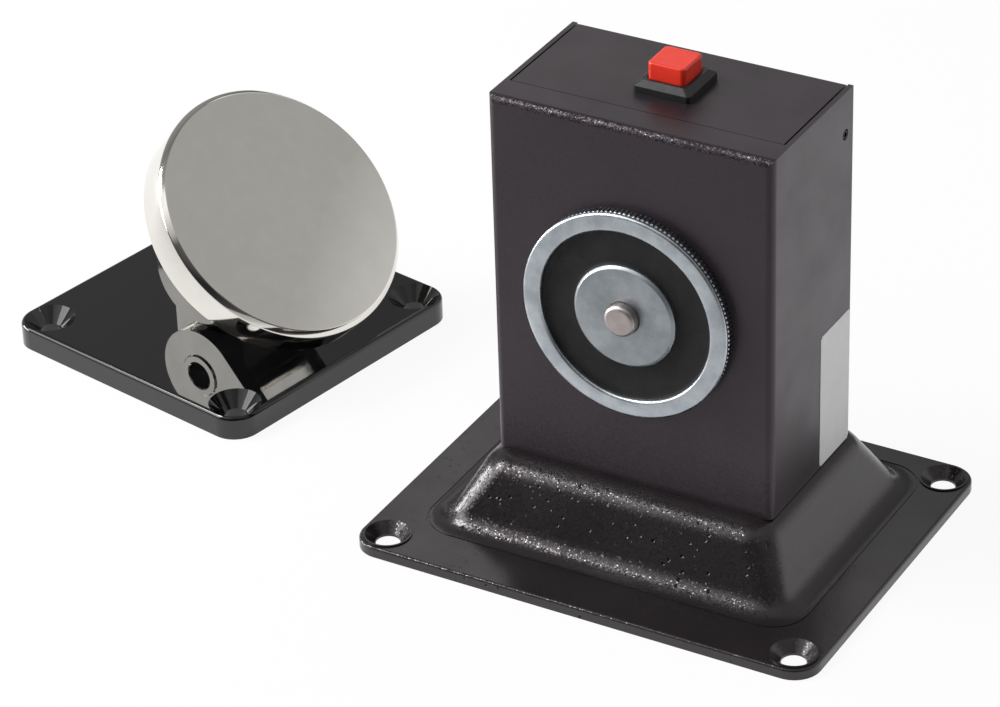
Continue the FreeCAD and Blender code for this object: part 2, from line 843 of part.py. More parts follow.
def make_button_bezel():
    """Square bezel with a sloping brow, a square well for the cap and a round barrel through the cover."""
    body = make_body("button_bezel", BUTTON_PLACE)
    half = size.bezel_side / 2
    pad(body, rounded_rectangle(make_sketch(body), half, half, size.bezel_corner), size.bezel_wall)
    lower = make_sketch(body, offset=size.bezel_wall)
    rounded_rectangle(lower, half, half, size.bezel_corner)
    upper = make_sketch(body, offset=size.bezel_height)
    brow = half - size.bezel_slope
    rounded_rectangle(upper, brow, brow, size.bezel_corner)
    loft(body, "PartDesign::AdditiveLoft", lower, upper)
    barrel = make_sketch(body)
    circle(barrel, 0, 0, size.barrel_diameter)
    pad(body, barrel, size.barrel_length, down=True)
    well = make_sketch(body, offset=size.bezel_height)
    well_half = size.cap_side / 2 + size.cap_gap
    rounded_rectangle(well, well_half, well_half, size.cap_corner)
    pocket(body, well, size.bezel_height - size.well_floor)
    bore = make_sketch(body, offset=size.well_floor)
    circle(bore, 0, 0, size.stem_diameter + 2 * size.slide_gap)
    pocket(body, bore)
    return keep(body)


def make_button_cap():
    body = make_body("button_cap", BUTTON_PLACE)
    half = size.cap_side / 2
    block = make_sketch(body, offset=cap_rest)
    rounded_rectangle(block, half, half, size.cap_corner)
    pad(body, block, size.cap_top - cap_rest)
    fillet(body, size.cap_edge, lambda p: near(p.z, size.cap_top))
    stem = make_sketch(body, offset=cap_rest)
    circle(stem, 0, 0, size.stem_diameter)
    pad(body, stem, cap_rest + size.stem_end, down=True)
    return keep(body)


def make_button_nut():
    body = make_body("button_nut", BUTTON_PLACE)
    ring = make_sketch(body, offset=-size.housing_sheet)
    hexagon(ring, size.nut_flats)
    circle(ring, 0, 0, size.barrel_diameter + 2 * size.seat_gap)
    pad(body, ring, size.nut_height, down=True)
    return keep(body)


def make_switch_body():
    """Contact block clipped under the barrel."""
    body = make_body("switch_body", BUTTON_PLACE)
    block = make_sketch(body, offset=-size.barrel_length)
    rectangle(block, -size.switch_width / 2, size.switch_width / 2, -size.switch_depth / 2, size.switch_depth / 2)
    pad(body, block, size.switch_height, down=True)
    return keep(body)


def make_switch_blades():
    body = make_body("switch_blades", BUTTON_PLACE)
    feet = make_sketch(body, offset=-(size.barrel_length + size.switch_height))
    for side in (-1, 1):
        centre = side * size.blade_pitch / 2
        rectangle(feet, centre - size.blade_sheet / 2, centre + size.blade_sheet / 2,
                  -size.blade_width / 2, size.blade_width / 2)
    pad(body, feet, size.blade_length, down=True)
    return keep(body)


TERMINAL_PLACE = (size.terminal_x, size.terminal_y, floor_top, 0, 0, 0)


def make_terminal_block():
    """Two-way block: wire holes through its depth and a screw well over each."""
    body = make_body("terminal_block", TERMINAL_PLACE)
    block = make_sketch(body)
    rectangle(block, -size.terminal_length / 2, size.terminal_length / 2,
              -size.terminal_depth / 2, size.terminal_depth / 2)
    pad(body, block, size.terminal_height)
    wires = make_sketch(body, "XZ_Plane")
    wells = make_sketch(body, offset=size.terminal_height)
    for side in (-1, 1):
        x = side * size.terminal_pitch / 2
        circle(wires, x, size.terminal_bore, size.terminal_bore)
        circle(wells, x, 0, size.terminal_screw + 2 * size.seat_gap)
    pocket(body, wires, symmetric=True)
    pocket(body, wells, size.terminal_screw_depth)
    return keep(body)


def make_terminal_screws():
    body = make_body("terminal_screws", TERMINAL_PLACE)
    heads = make_sketch(body, offset=size.terminal_height - size.terminal_screw_depth)
    for side in (-1, 1):
        circle(heads, side * size.terminal_pitch / 2, 0, size.terminal_screw)
    pad(body, heads, size.terminal_screw_depth * 0.75)
    return keep(body)


KEEPER_PLACE = (size.keeper_x, size.keeper_y, 0, size.keeper_turn, 0, 0)
PLATE_PLACE = (size.keeper_x, size.keeper_y, pivot_level, size.keeper_turn, size.keeper_tilt, 0)
block_screw_places = [(side * size.block_screw_spacing / 2, ZERO) for side in (-1, 1)]


def make_keeper_base():
    """Square base with rounded corners and edges, four sunk fixing holes and two sunk holes from below."""
    body = make_body("keeper_base", KEEPER_PLACE)
    half = size.keeper_side / 2
    pad(body, rounded_rectangle(make_sketch(body), half, half, size.keeper_corner), size.keeper_thickness)
    fillet(body, size.keeper_edge, lambda p: near(p.z, size.keeper_thickness))
    fixings = make_sketch(body, offset=size.keeper_thickness)
    for x, y in four_places(half - size.keeper_inset, half - size.keeper_inset):
        circle(fixings, x, y, size.keeper_hole)
    sunk_holes(body, fixings, size.keeper_hole, size.keeper_sink)
    below = make_sketch(body)
    for x, y in block_screw_places:
        circle(below, x, y, size.block_screw_shank + 2 * size.seat_gap)
    sunk_holes(body, below, size.block_screw_shank + 2 * size.seat_gap,
               size.block_screw_sink + 2 * size.seat_gap, reverse=True)
    return keep(body)


def make_pivot_block():
    """Block on the base with a top rounded about the hinge axis."""
    body = make_body("pivot_block", KEEPER_PLACE)
    half = size.block_length / 2
    profile = make_sketch(body, "XZ_Plane")
    low = size.keeper_thickness
    rectangle(profile, -half, half, low, pivot_level)
    pad(body, profile, size.block_width, symmetric=True)
    dome = make_sketch(body, "XZ_Plane")
    circle(dome, 0, pivot_level, size.block_length)
    pad(body, dome, size.block_width, symmetric=True)
    bore = make_sketch(body, "XZ_Plane")
    circle(bore, 0, pivot_level, size.hinge_diameter + 2 * size.slide_gap)
    pocket(body, bore, symmetric=True)
    taps = make_sketch(body, offset=low)
    for x, y in block_screw_places:
        circle(taps, x, y, size.block_screw_shank + 2 * size.seat_gap)
    pocket(body, taps, size.block_screw_reach + 1, reverse=True)
    return keep(body)


def make_block_screws():
    """Countersunk screws from under the base into the block."""
    body = make_body("block_screws", KEEPER_PLACE)
    shank = size.block_screw_shank / 2
    cone = (size.block_screw_sink - size.block_screw_shank) / 2
    tip = size.keeper_thickness + size.block_screw_reach
    centre = block_screw_places[1][0]
    section = make_sketch(body, "XZ_Plane")
    polygon(section, [
        (centre, ZERO),
        (centre + size.block_screw_sink / 2, ZERO),
        (centre + shank, cone),
        (centre + shank, tip),
        (centre, tip),
    ])
    turn = body.newObject("PartDesign::Revolution", "block_screws_turn")
    turn.Profile = section
    turn.ReferenceAxis = (section, ["Edge5"])
    turn.Angle = 360
    finish_feature(body, turn)
    mirror = body.newObject("PartDesign::Mirrored", "block_screws_mirror")
    mirror.Originals = [turn]
    mirror.MirrorPlane = (plane_of(body, "YZ_Plane"), [""])
    finish_feature(body, mirror)
    return keep(body)


ear_inner = size.block_width / 2 + size.ear_gap
ear_outer = ear_inner + size.ear_sheet
disc_screw_places = [(ZERO, side * size.disc_screw_spacing / 2) for side in (-1, 1)]


def make_keeper_clevis():
    """Bent steel fork: a bridge behind the plate and two ears with round ends about the hinge axis."""
    body = make_body("keeper_clevis", PLATE_PLACE)
    stock = make_sketch(body, "XZ_Plane")
    radius = size.ear_radius
    rectangle(stock, -radius, radius, ZERO, size.bridge_height)
    pad(body, stock, 2 * ear_outer, symmetric=True)
    ends = make_sketch(body, "XZ_Plane")
    circle(ends, 0, 0, 2 * radius)
    pad(body, ends, 2 * ear_outer, symmetric=True)
    fillet(body, size.ear_sheet * 0.6, lambda p: near(p.z, size.bridge_height) and near(abs(p.y), ear_outer))
    slot = make_sketch(body, "YZ_Plane")
    rectangle(slot, -ear_inner, ear_inner, -2 * radius, size.bridge_height - size.bridge_sheet)
    pocket(body, slot, symmetric=True)
    bore = make_sketch(body, "XZ_Plane")
    circle(bore, 0, 0, size.hinge_diameter + 2 * size.seat_gap)
    pocket(body, bore, symmetric=True)
    sinks = make_sketch(body, offset=size.bridge_height - size.bridge_sheet)
    for x, y in disc_screw_places:
        circle(sinks, x, y, size.disc_screw_shank + 2 * size.seat_gap)
    sunk_holes(body, sinks, size.disc_screw_shank + 2 * size.seat_gap,
               size.disc_screw_sink + 2 * size.seat_gap, reverse=True)
    return keep(body)


def make_hinge_pin():
    """Hollow rivet with a turned-over head at each ear."""
    body = make_body("hinge_pin", (size.keeper_x, size.keeper_y, pivot_level, size.keeper_turn, 0, 90))
    bore = size.hinge_bore / 2
    shank = size.hinge_diameter / 2
    head = size.hinge_head / 2
    end = ear_outer + size.hinge_head_height
    bevel = size.hinge_head_bevel
    revolve(body, [
        (bore, bevel - end),
        (bore + bevel, -end),
        (head - bevel, -end),
        (head, bevel - end),
        (head, -ear_outer),
        (shank, -ear_outer),
        (shank, ear_outer),
        (head, ear_outer),
        (head, end - bevel),
        (head - bevel, end),
        (bore + bevel, end),
        (bore, end - bevel),
    ])
    return keep(body)


def make_keeper_disc():
    """Turned armature plate with a chamfered face, tapped from behind."""
    body = make_body("keeper_disc", PLATE_PLACE)
    back = size.bridge_height
    front = back + size.disc_thickness
    radius = size.disc_diameter / 2
    revolve(body, [
        (ZERO, back),
        (radius - size.disc_back_chamfer, back),
        (radius, back + size.disc_back_chamfer),
        (radius, front - size.disc_chamfer),
        (radius - size.disc_chamfer, front),
        (ZERO, front),
    ])
    taps = make_sketch(body, offset=back)
    for x, y in disc_screw_places:
        circle(taps, x, y, size.disc_screw_shank + 2 * size.seat_gap)
    pocket(body, taps, size.disc_screw_reach + 1, reverse=True)
    return keep(body)


def make_disc_screws():
    """Countersunk screws through the bridge into the plate."""
    body = make_body("disc_screws", PLATE_PLACE)
    low = size.bridge_height - size.bridge_sheet
    shank = size.disc_screw_shank / 2
    cone = (size.disc_screw_sink - size.disc_screw_shank) / 2
    tip = size.bridge_height + size.disc_screw_reach
    centre = disc_screw_places[1][1]
    section = make_sketch(body, "YZ_Plane")
    polygon(section, [
        (centre, low),
        (centre + size.disc_screw_sink / 2, low),
        (centre + shank, low + cone),
        (centre + shank, tip),
        (centre, tip),
    ])
    turn = body.newObject("PartDesign::Revolution", "disc_screws_turn")
    turn.Profile = section
    turn.ReferenceAxis = (section, ["Edge5"])
    turn.Angle = 360
    finish_feature(body, turn)
    mirror = body.newObject("PartDesign::Mirrored", "disc_screws_mirror")
    mirror.Originals = [turn]
    mirror.MirrorPlane = (plane_of(body, "XZ_Plane"), [""])
    finish_feature(body, mirror)
    return keep(body)


make_pedestal()
make_housing_shell()
make_housing_cover()
make_cover_screws()
make_floor_screws()
make_floor_nuts()
make_cable_grommet()
make_magnet_pot()
make_magnet_core()
make_core_plug()
make_coil_bobbin()
make_coil_winding()
make_resin_ring()
make_ejector_pin()
make_ring_nut()
make_button_bezel()
make_button_cap()
make_button_nut()
make_switch_body()
make_switch_blades()
make_terminal_block()
make_terminal_screws()
make_keeper_base()
make_pivot_block()
make_block_screws()
make_keeper_clevis()
make_hinge_pin()
make_keeper_disc()
make_disc_screws()

doc.recompute()
for item in doc.Objects:
    if "Invalid" in item.State or "Error" in item.State:
        raise RuntimeError(f"{item.Label} failed to build: {item.State}")
for part in parts:
    if part.Shape.isNull() or not part.Shape.isValid() or not part.Shape.Solids:
        raise RuntimeError(f"{part.Label} has no valid solid")

os.makedirs("parts", exist_ok=True)
for part in parts:
    part.Shape.exportStep(os.path.join("parts", part.Label + ".step"))
    box = part.Shape.BoundBox
    print(f"{part.Label}: {len(part.Shape.Solids)} solid, {part.Shape.Volume / 1000:.2f} cm3,"
          f" {box.XLength:.1f} x {box.YLength:.1f} x {box.ZLength:.1f}")
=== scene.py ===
import math

import bmesh
import bpy
from mathutils import Matrix, Vector


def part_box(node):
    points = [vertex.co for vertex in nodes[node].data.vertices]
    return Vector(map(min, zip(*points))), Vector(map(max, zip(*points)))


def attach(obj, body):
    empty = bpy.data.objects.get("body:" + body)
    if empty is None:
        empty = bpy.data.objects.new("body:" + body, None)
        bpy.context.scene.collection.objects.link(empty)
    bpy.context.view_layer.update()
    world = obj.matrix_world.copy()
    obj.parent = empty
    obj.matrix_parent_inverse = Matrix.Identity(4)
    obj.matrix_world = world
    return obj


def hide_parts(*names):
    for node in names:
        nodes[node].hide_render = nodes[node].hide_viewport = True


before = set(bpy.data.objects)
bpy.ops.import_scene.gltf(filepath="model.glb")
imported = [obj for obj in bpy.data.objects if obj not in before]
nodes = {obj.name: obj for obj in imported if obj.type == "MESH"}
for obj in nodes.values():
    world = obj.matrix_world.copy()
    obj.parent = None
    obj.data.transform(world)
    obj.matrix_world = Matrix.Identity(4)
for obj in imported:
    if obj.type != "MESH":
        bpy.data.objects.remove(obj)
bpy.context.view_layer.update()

# Electromagnetic door holder and its keeper. Metres, in the frame of the solids: +Z up, the magnet faces -Y.
MM = 0.001
MICRON = 0.000001
scene = bpy.context.scene


# Node trees

def node(tree, kind, sockets=None, **attributes):
    """A shader node; a socket's value is a number, a colour or another node's output."""
    made = tree.nodes.new("ShaderNode" + kind)
    for key, value in attributes.items():
        setattr(made, key, value)
    for key, value in (sockets or {}).items():
        if isinstance(value, bpy.types.NodeSocket):
            tree.links.new(value, made.inputs[key])
        else:
            made.inputs[key].default_value = value
    return made


def new_tree(name):
    material = bpy.data.materials.new(name)
    material.use_nodes = True
    material.node_tree.nodes.clear()
    return material, material.node_tree


def object_place(tree):
    return node(tree, "TexCoord").outputs["Object"]


def noise(tree, place, scale, detail=3.0, rough=0.55):
    values = {"Vector": place, "Scale": scale, "Detail": detail, "Roughness": rough}
    return node(tree, "TexNoise", values).outputs["Fac"]


def maths(tree, operation, first, second=0.0):
    return node(tree, "Math", {0: first, 1: second}, operation=operation).outputs[0]


def times(tree, first, *others):
    """The product of two or more values."""
    for other in others:
        first = maths(tree, "MULTIPLY", first, other)
    return first


def vector_maths(tree, operation, first, **others):
    """A vector sum, product or the like; second is a vector, and factor is the number that SCALE takes."""
    sockets = {"second": 1, "factor": "Scale"}
    values = {sockets[key]: value for key, value in others.items()}
    return node(tree, "VectorMath", {0: first, **values}, operation=operation).outputs


def span(tree, value, low, high, to_low=0.0, to_high=1.0):
    """The value's range low to high, carried over to another range and held at its ends."""
    values = {"Value": value, "From Min": low, "From Max": high, "To Min": to_low, "To Max": to_high}
    return node(tree, "MapRange", values, clamp=True).outputs["Result"]


def blend_colour(tree, factor, first, second):
    first_socket, second_socket, result = 6, 7, 2  # the Mix node's colour sockets, which share their names
    made = node(tree, "Mix", {"Factor": factor}, data_type="RGBA")
    for socket, value in ((made.inputs[first_socket], first), (made.inputs[second_socket], second)):
        if isinstance(value, bpy.types.NodeSocket):
            tree.links.new(value, socket)
        else:
            socket.default_value = (*value, 1.0)
    return made.outputs[result]


def bump(tree, height, distance, normal=None):
    values = {"Height": height, "Strength": 1.0, "Distance": distance}
    if normal:
        values["Normal"] = normal
    return node(tree, "Bump", values).outputs["Normal"]


def surface(tree, sockets):
    shader = node(tree, "BsdfPrincipled", sockets)
    output = node(tree, "OutputMaterial")
    tree.links.new(shader.outputs[0], output.inputs["Surface"])


def radius_from_axis(tree):
    """Distance from the piece's own Z axis, in metres."""
    flat = vector_maths(tree, "MULTIPLY", object_place(tree), second=(1, 1, 0))[0]
    return vector_maths(tree, "LENGTH", flat)["Value"]


# Materials

GRAIN_SCALE = 2600.0
PIT_SCALE = 330.0
PIT_DEPTH = 200 * MICRON
# Painted shade for the pits: a near-black colour and a weak gleam put into each dent
PIT_SHADE_COLOUR = (0.003, 0.003, 0.003)
PIT_SHADE_GLEAM = (0.1, 0.1, 0.1)
# Stronger pits than this also get a darker gleam in each pit, as painted shade
PITS_SEEN = 0.5  # a coat with weaker pits than this keeps one gleam all over


def coat_shares(tree):
    """Three shares of a coat's detail, from the way that the face points.

    steep is 1 on slopes and bends, and less on walls and level faces. pitted and grainy are 1 towards the
    front and little elsewhere; grainy reaches further round the bends. pitted keeps the pits, and the painted
    shade in them, to the faces towards the front.
    """
    facing = node(tree, "SeparateXYZ", {0: node(tree, "NewGeometry").outputs["Normal"]}).outputs
    off_level = span(tree, facing["Z"], 0.90, 0.99, 1.0, 0.12)
    off_wall = span(tree, facing["Z"], 0.05, 0.25, 0.25, 1.0)
    steep = times(tree, off_level, off_wall)
    # Pits and their painted shade only on the faces towards the front
    pit_shade_share = span(tree, facing["Y"], -0.6, -0.3, 1.0, 0.12)
    grainy = span(tree, facing["Y"], -0.35, -0.10, 1.0, 0.2)
    return steep, pit_shade_share, grainy


def grained(tree, place, normal, lean, calm):
    """A normal that tilts from grain to grain, and which grains glint; the rest tilt calm times as far."""
    grains = node(tree, "TexVoronoi", {"Vector": place, "Scale": GRAIN_SCALE}).outputs["Color"]
    glint = span(tree, node(tree, "SeparateXYZ", {0: grains}).outputs["Z"], 0.72, 0.76)
    reach = times(tree, lean, span(tree, glint, 0.0, 1.0, calm, 1.0))
    off = vector_maths(tree, "SUBTRACT", grains, second=(0.5, 0.5, 0.5))[0]
    leaning = vector_maths(tree, "SCALE", off, factor=reach)[0]
    tilted = vector_maths(tree, "ADD", leaning, second=normal)[0]
    return vector_maths(tree, "NORMALIZE", tilted)[0], glint


def powder_coat(name, dark, light, peel, lean, calm, pits, low_rough, high_rough, shine, tint):
    """Satin black coat: a soft orange peel, glinting grains, scattered pits darkened with painted shade, and
    faint wear in its sheen.
    """
    material, tree = new_tree(name)
    place = object_place(tree)
    steep, pit_shade_share, grainy = coat_shares(tree)
    lively = times(tree, steep, grainy)

    cloud = noise(tree, place, 22.0, 4.0)
    speck = noise(tree, place, GRAIN_SCALE, 2.0, 0.7)
    tone = maths(tree, "ADD", times(tree, cloud, 0.7), times(tree, speck, 0.3))
    colour = blend_colour(tree, span(tree, tone, 0.35, 0.65), dark, light)

    # Pits: real dents in the coat, with painted shade in them as a darker colour and a weaker gleam
    cells = node(tree, "TexVoronoi", {"Vector": place, "Scale": PIT_SCALE, "Randomness": 1.0})
    spot = span(tree, cells.outputs["Distance"], 0.13, 0.20, 1.0, 0.0)
    chosen = span(tree, noise(tree, place, 70.0, 2.0), 0.45, 0.52)
    shaded_pit = times(tree, spot, chosen, times(tree, pit_shade_share, pits))
    colour = blend_colour(tree, shaded_pit, colour, PIT_SHADE_COLOUR)
    gleam_with_pit_shade = blend_colour(tree, shaded_pit, tint, PIT_SHADE_GLEAM) if pits > PITS_SEEN else (*tint, 1.0)

    lumps = bump(tree, times(tree, noise(tree, place, 750.0, 2.0, 0.5), lively), peel)
    holes = bump(tree, maths(tree, "SUBTRACT", 1.0, shaded_pit), PIT_DEPTH, lumps)
    facets, glint = grained(tree, place, holes, times(tree, lively, lean), calm)
    sheen = span(tree, noise(tree, place, 60.0, 5.0), 0.3, 0.7, low_rough, high_rough)
    sharper = span(tree, times(tree, glint, lively), 0.0, 1.0, 1.0, 1.0 - 2.0 * lean)
    surface(tree, {"Base Color": colour, "Roughness": times(tree, sheen, sharper), "Normal": facets,
                   "IOR": 1.5, "Specular IOR Level": shine, "Specular Tint": gleam_with_pit_shade})
    return material


def gloss_coat(name):
    """Deep gloss black lacquer with a trace of handling marks and dust."""
    material, tree = new_tree(name)
    place = object_place(tree)
    dust = span(tree, noise(tree, place, 5200.0, 1.0), 0.74, 0.80, 0.0, 0.35)
    colour = blend_colour(tree, dust, (0.0035, 0.0035, 0.004), (0.05, 0.05, 0.05))
    smear = span(tree, noise(tree, place, 35.0, 6.0, 0.65), 0.35, 0.75, 0.02, 0.06)
    wave = bump(tree, noise(tree, place, 260.0, 1.0), 2.5 * MICRON)
    surface(tree, {"Base Color": colour, "Roughness": smear, "Normal": wave, "IOR": 1.55})
    return material


def scratches(tree, place, turn, scale, detail):
    """Long fine streaks that run one way across a face."""
    stretched = node(tree, "Mapping", {"Vector": place, "Rotation": (0, 0, turn), "Scale": scale})
    return noise(tree, stretched.outputs["Vector"], 1.0, detail, 0.6)


def turned_metal(name, dark, light, low_rough, high_rough, ring_depth, scuffs, anisotropy, ring_share=0.4):
    """Plated or bare metal turned about the piece's Z axis, with fine rings and handling scuffs."""
    rings_per_metre = 5200.0
    material, tree = new_tree(name)
    place = object_place(tree)
    along = times(tree, radius_from_axis(tree), rings_per_metre)
    ring_values = {"W": along, "Scale": 1.0, "Detail": 3.0}
    rings = node(tree, "TexNoise", ring_values, noise_dimensions="1D").outputs["Fac"]
    streaks = scratches(tree, place, 0.5, (60, 1400, 60), 3.0)
    crossing = scratches(tree, place, -0.9, (45, 1100, 45), 2.0)
    marks = times(tree, maths(tree, "MAXIMUM", streaks, crossing), scuffs)
    cloud = noise(tree, place, 160.0, 5.0, 0.62)
    tone = maths(tree, "ADD", times(tree, cloud, 1.0 - ring_share), times(tree, rings, ring_share))
    colour = blend_colour(tree, span(tree, tone, 0.35, 0.65), dark, light)
    rough = span(tree, maths(tree, "ADD", cloud, marks), 0.35, 0.9, low_rough, high_rough)
    ridged = bump(tree, rings, ring_depth)
    scratched = bump(tree, marks, ring_depth * 1.5, ridged)
    tangent = node(tree, "Tangent", direction_type="RADIAL", axis="Z").outputs[0]
    surface(tree, {"Base Color": colour, "Metallic": 1.0, "Roughness": rough, "Normal": scratched,
                   "Anisotropic": anisotropy, "Tangent": tangent})
    return material


def plain_metal(name, dark, light, low_rough, high_rough):
    """Plated or drawn metal with cloudy tone and a fine uneven sheen."""
    material, tree = new_tree(name)
    place = object_place(tree)
    cloud = noise(tree, place, 120.0, 5.0)
    colour = blend_colour(tree, span(tree, cloud, 0.3, 0.7), dark, light)
    rough = span(tree, noise(tree, place, 700.0, 4.0), 0.3, 0.7, low_rough, high_rough)
    skin = bump(tree, noise(tree, place, 2200.0, 2.0), 4 * MICRON)
    surface(tree, {"Base Color": colour, "Metallic": 1.0, "Roughness": rough, "Normal": skin})
    return material


def moulded(name, dark, light, low_rough, high_rough, depth, scale=1800.0, ior=1.5):
    """Moulded plastic, rubber, resin or paper: a faint tone change and a fine grain."""
    material, tree = new_tree(name)
    place = object_place(tree)
    cloud = noise(tree, place, 140.0, 4.0)
    colour = blend_colour(tree, span(tree, cloud, 0.3, 0.7), dark, light)
    rough = span(tree, noise(tree, place, 420.0, 4.0), 0.3, 0.7, low_rough, high_rough)
    skin = bump(tree, noise(tree, place, scale, 2.0), depth)
    surface(tree, {"Base Color": colour, "Roughness": rough, "Normal": skin, "IOR": ior})
    return material


def wound_wire(name):
    """Fine enamelled wire, wound about the magnet's axis."""
    radians_per_metre = 9000.0
    material, tree = new_tree(name)
    place = object_place(tree)
    along = node(tree, "SeparateXYZ", {0: place}).outputs["Y"]
    turns = maths(tree, "SINE", times(tree, along, radians_per_metre))
    cloud = noise(tree, place, 300.0, 4.0)
    colour = blend_colour(tree, cloud, (0.30, 0.11, 0.04), (0.55, 0.25, 0.10))
    rough = span(tree, cloud, 0.3, 0.7, 0.28, 0.42)
    surface(tree, {"Base Color": colour, "Metallic": 1.0, "Roughness": rough,
                   "Normal": bump(tree, turns, 100 * MICRON)})
    return material


coat_housing = powder_coat(
    "coat_housing", dark=(0.014, 0.0105, 0.0125), light=(0.020, 0.015, 0.018), peel=30 * MICRON, lean=0.30,
    calm=1.0, pits=0.1, low_rough=0.34, high_rough=0.43, shine=0.50, tint=(1.0, 0.88, 0.99))
coat_pedestal = powder_coat(
    "coat_pedestal", dark=(0.010, 0.0082, 0.009), light=(0.016, 0.0130, 0.0145), peel=20 * MICRON, lean=0.26,
    calm=0.35, pits=0.9, low_rough=0.22, high_rough=0.29, shine=0.60, tint=(1.0, 0.95, 0.98))
gloss_black = gloss_coat("gloss_black")
zinc_turned = turned_metal(
    "zinc_turned", dark=(0.38, 0.415, 0.45), light=(0.56, 0.60, 0.63), low_rough=0.20, high_rough=0.36,
    ring_depth=4 * MICRON, scuffs=0.5, anisotropy=0.4, ring_share=0.15)
core_turned = turned_metal(
    "core_turned", dark=(0.275, 0.30, 0.32), light=(0.40, 0.425, 0.45), low_rough=0.26, high_rough=0.46,
    ring_depth=6 * MICRON, scuffs=0.9, anisotropy=0.35, ring_share=0.2)
pin_turned = turned_metal(
    "pin_turned", dark=(0.40, 0.36, 0.355), light=(0.51, 0.455, 0.445), low_rough=0.30, high_rough=0.44,
    ring_depth=10 * MICRON, scuffs=0.6, anisotropy=0.3)
nickel_disc = turned_metal(
    "nickel_disc", dark=(0.64, 0.62, 0.58), light=(0.68, 0.66, 0.62), low_rough=0.035, high_rough=0.09,
    ring_depth=0.6 * MICRON, scuffs=0.3, anisotropy=0.0)
# Name, dark and light tone, lowest and highest roughness; moulded ones also have their grain's depth,
# and some its scale and their IOR
nickel = plain_metal("nickel", (0.60, 0.58, 0.54), (0.68, 0.66, 0.62), 0.08, 0.18)
zinc = plain_metal("zinc", (0.48, 0.51, 0.53), (0.64, 0.67, 0.69), 0.25, 0.45)
black_oxide = plain_metal("black_oxide", (0.012, 0.012, 0.012), (0.03, 0.03, 0.03), 0.35, 0.55)
brass = plain_metal("brass", (0.55, 0.40, 0.16), (0.70, 0.54, 0.26), 0.25, 0.4)
copper = wound_wire("copper")
resin = moulded("resin", (0.006, 0.0056, 0.006), (0.012, 0.0115, 0.012), 0.50, 0.66, 20 * MICRON, 900.0, 1.34)
black_plastic = moulded(
    "black_plastic", (0.009, 0.009, 0.0095), (0.016, 0.016, 0.017), 0.42, 0.56, 10 * MICRON)
red_plastic = moulded("red_plastic", (0.80, 0.030, 0.010), (0.88, 0.040, 0.015), 0.30, 0.42, 6 * MICRON)
pale_plastic = moulded("pale_plastic", (0.62, 0.61, 0.57), (0.72, 0.71, 0.67), 0.4, 0.55, 10 * MICRON)
rubber = moulded("rubber", (0.012, 0.012, 0.012), (0.024, 0.024, 0.024), 0.6, 0.8, 20 * MICRON)
paper = moulded("paper", (0.78, 0.775, 0.79), (0.84, 0.835, 0.85), 0.40, 0.55, 6 * MICRON, 3200.0)

NODE_LOOKS = {
    "pedestal": coat_pedestal,
    "housing_shell": coat_housing,
    "housing_cover": coat_housing,
    "cover_screws": black_oxide,
    "floor_screws": zinc,
    "floor_nuts": zinc,
    "cable_grommet": rubber,
    "magnet_pot": zinc,
    "magnet_core": zinc,
    "core_plug": zinc,
    "coil_bobbin": black_plastic,
    "coil_winding": copper,
    "resin_ring": resin,
    "ejector_pin": zinc,
    "ring_nut": zinc,
    "button_bezel": black_plastic,
    "button_cap": red_plastic,
    "button_nut": black_plastic,
    "switch_body": black_plastic,
    "switch_blades": brass,
    "terminal_block": pale_plastic,
    "terminal_screws": brass,
    "keeper_base": gloss_black,
    "pivot_block": nickel,
    "block_screws": zinc,
    "keeper_clevis": nickel,
    "hinge_pin": nickel,
    "keeper_disc": nickel,
    "disc_screws": zinc,
}
for name, look in NODE_LOOKS.items():
    nodes[name].data.materials.clear()
    nodes[name].data.materials.append(look)


# Mesh building

WELD = 1e-7


def finish_mesh(name, mesh_data, look, sharp=32.0):
    """A smooth object from a bmesh, with creases kept where faces meet at more than the sharp angle."""
    mesh = bpy.data.meshes.new(name)
    bmesh.ops.recalc_face_normals(mesh_data, faces=mesh_data.faces)
    mesh_data.to_mesh(mesh)
    mesh_data.free()
    mesh.polygons.foreach_set("use_smooth", [True] * len(mesh.polygons))
    mesh.set_sharp_from_angle(angle=math.radians(sharp))
    mesh.materials.append(look)
    made = bpy.data.objects.new(name, mesh)
    scene.collection.objects.link(made)
    return made


def lathe(profile, segments, swell=None):
    """A bmesh turned about Z from (radius, height) points; the first and last points may lie on the axis."""
    built = bmesh.new()
    rings = []
    for row, (radius, height) in enumerate(profile):
        if radius == 0:
            rings.append([built.verts.new((0, 0, height))])
            continue
        ring = []
        for step in range(segments):
            turn = 2 * math.pi * step / segments
            reach = radius + (swell(row, step) if swell else 0.0)
            ring.append(built.verts.new((reach * math.cos(turn), reach * math.sin(turn), height)))
        rings.append(ring)
    for lower, upper in zip(rings, rings[1:]):
        for step in range(segments):
            after = (step + 1) % segments
            if len(lower) == 1:
                built.faces.new((lower[0], upper[step], upper[after]))
            elif len(upper) == 1:
                built.faces.new((lower[step], lower[after], upper[0]))
            else:
                built.faces.new((lower[step], lower[after], upper[after], upper[step]))
    return built


def closed_lathe(profile, segments, swell=None):
    """A lathe whose profile ends where it starts, clear of the axis."""
    built = lathe(profile, segments, swell)
    bmesh.ops.remove_doubles(built, verts=built.verts, dist=WELD)
    return built


def rounded(profile, radius, steps):
    """An open profile with each inner corner turned into a small arc."""
    most = 0.45  # of a side's length, so that two arcs never meet
    smooth = [profile[0]]
    for before, corner, after in zip(profile, profile[1:], profile[2:]):
        here = Vector(corner)
        back = Vector(before) - here
        ahead = Vector(after) - here
        reach = min(radius, back.length * most, ahead.length * most)
        start = here + back.normalized() * reach
        end = here + ahead.normalized() * reach
        for step in range(steps + 1):
            part = step / steps
            point = start * (1 - part) ** 2 + here * 2 * part * (1 - part) + end * part ** 2
            smooth.append((point.x, point.y))
    smooth.append(profile[-1])
    return smooth


